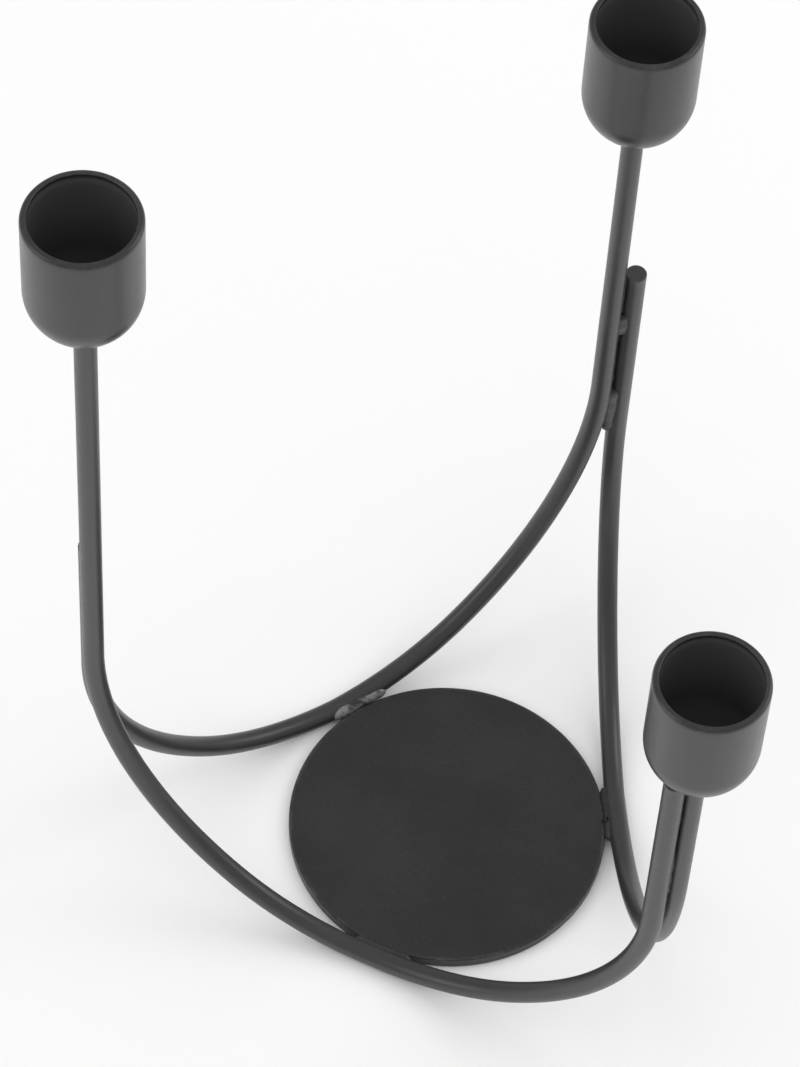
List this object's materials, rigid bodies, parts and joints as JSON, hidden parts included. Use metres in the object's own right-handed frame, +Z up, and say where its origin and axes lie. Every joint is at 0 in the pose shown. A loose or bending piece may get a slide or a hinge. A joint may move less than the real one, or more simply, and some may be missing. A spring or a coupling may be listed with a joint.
{
  "type": "tabletop candelabra",
  "caption": "Low tabletop candelabra of bent round rods welded around a small disc base, each long arm ending in a round-bottomed taper candle cup, at stepped heights.",
  "frame": {"origin": "centre of the base disc's underside, on the table", "axes": "+Z up; +X from the disc's centre towards the bottom of the low cup's rod; +Y towards that rod's short arm"},
  "size_m": [0.1574, 0.1667, 0.259],
  "materials": {
    "base": "satin",
    "rod": "satin",
    "cup": "satin",
    "weld": "satin"
  },
  "bodies": {
    "root": {"base_plate": "base", "rod_tall": "rod", "rod_middle": "rod", "rod_low": "rod", "cup_tall": "cup", "cup_middle": "cup", "cup_low": "cup", "base_weld_tall": "weld", "base_weld_middle": "weld", "base_weld_low": "weld", "upper_weld_tall": "weld", "upper_weld_middle": "weld", "upper_weld_low": "weld", "lower_weld_tall": "weld", "lower_weld_middle": "weld", "lower_weld_low": "weld", "cup_weld_tall": "weld", "cup_weld_middle": "weld", "cup_weld_low": "weld"}
  },
  "joints": []
}
